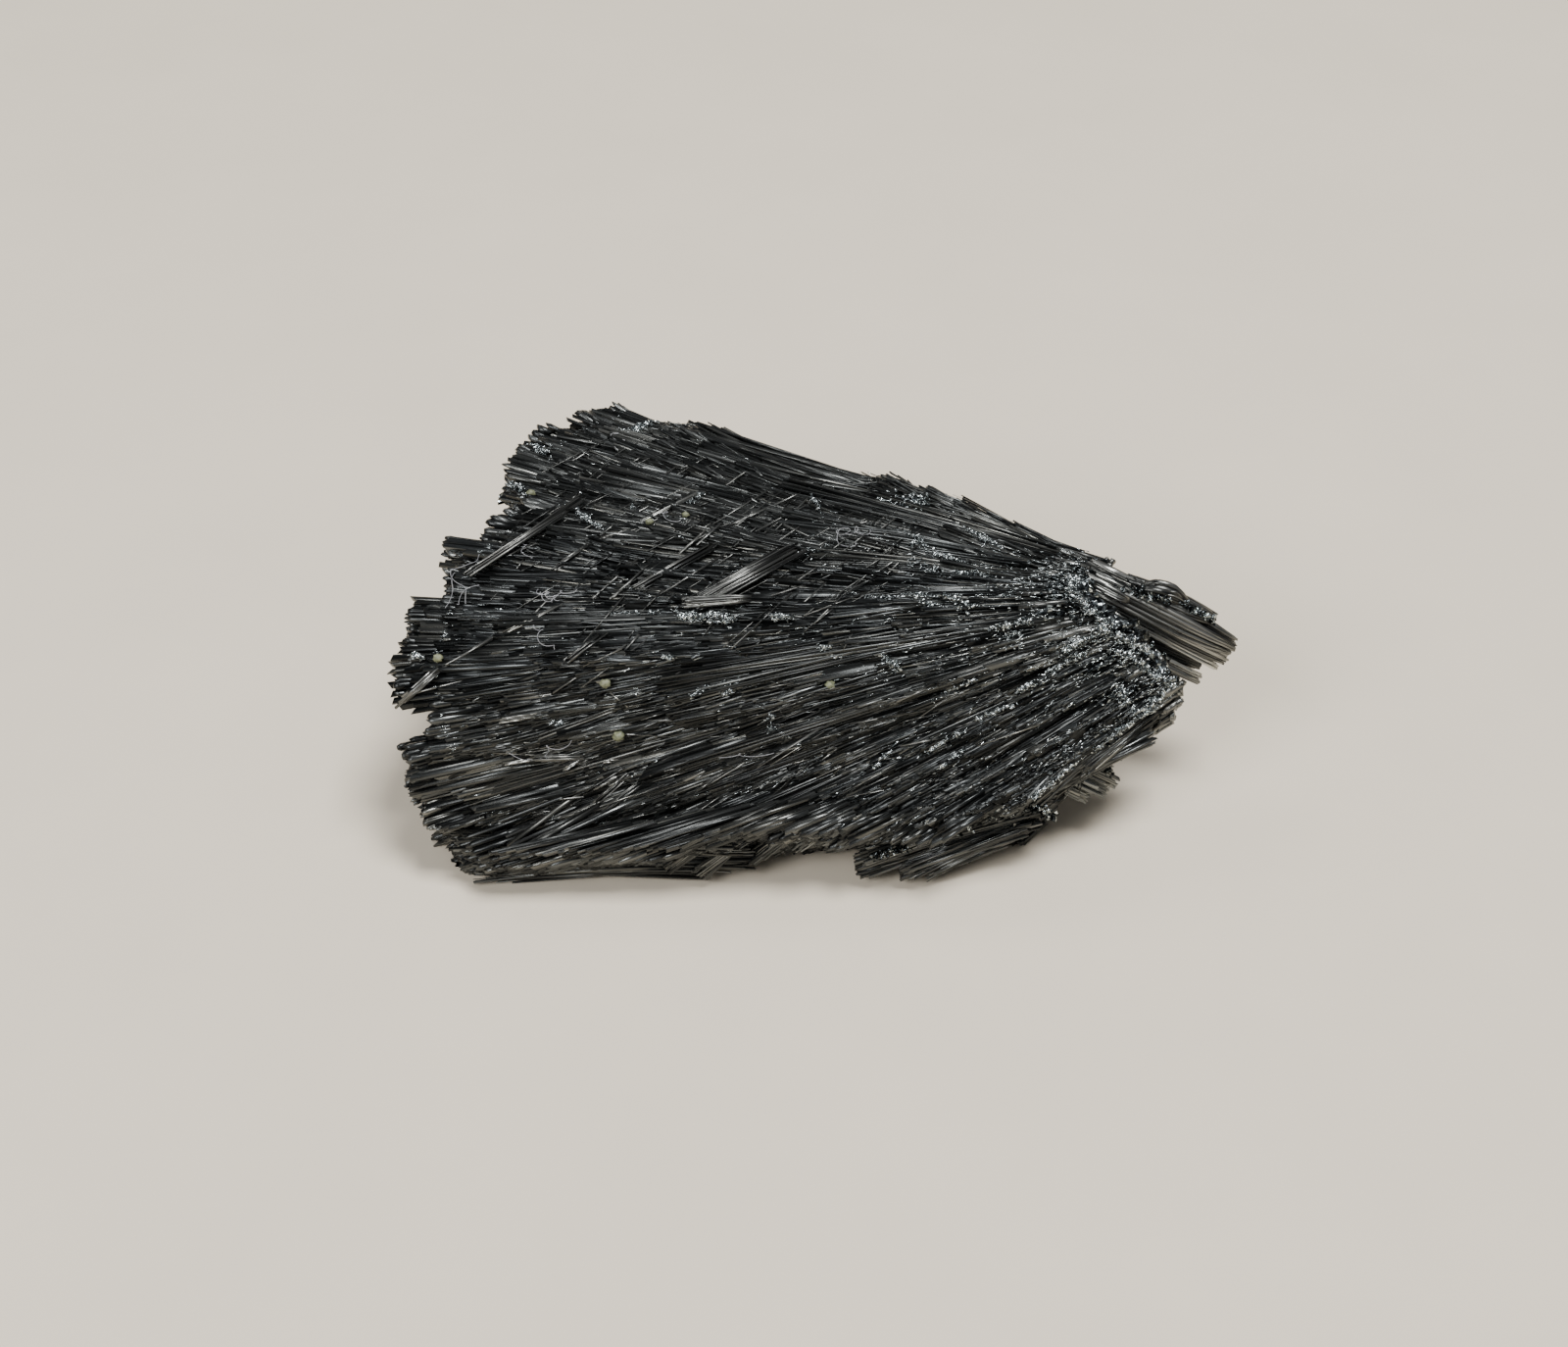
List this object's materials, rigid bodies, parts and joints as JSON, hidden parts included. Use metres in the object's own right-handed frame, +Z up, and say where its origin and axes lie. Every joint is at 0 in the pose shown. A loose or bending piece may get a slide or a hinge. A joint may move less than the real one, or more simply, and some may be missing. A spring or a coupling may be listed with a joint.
{
  "type": "zinkenite crystal spray",
  "caption": "Loose fan-shaped spray of dark lead-grey needle crystals radiating from a crushed root band, lying on its flat foot.",
  "frame": {"origin": "middle of the foot of the specimen's box, on the surface that it lies on", "axes": "+X from the ragged needle tips towards the root block, +Y to the back edge, +Z up"},
  "size_m": [0.052, 0.0324, 0.015],
  "materials": {
    "sulphosalt": "dark lead-grey, finely striated along the needles, dull metallic shine with bright cleavage glints",
    "dust": "small translucent yellow-green grains",
    "lint": "fine pale fibres"
  },
  "bodies": {
    "root": {"zinkenite_fan": "sulphosalt"}
  },
  "joints": []
}
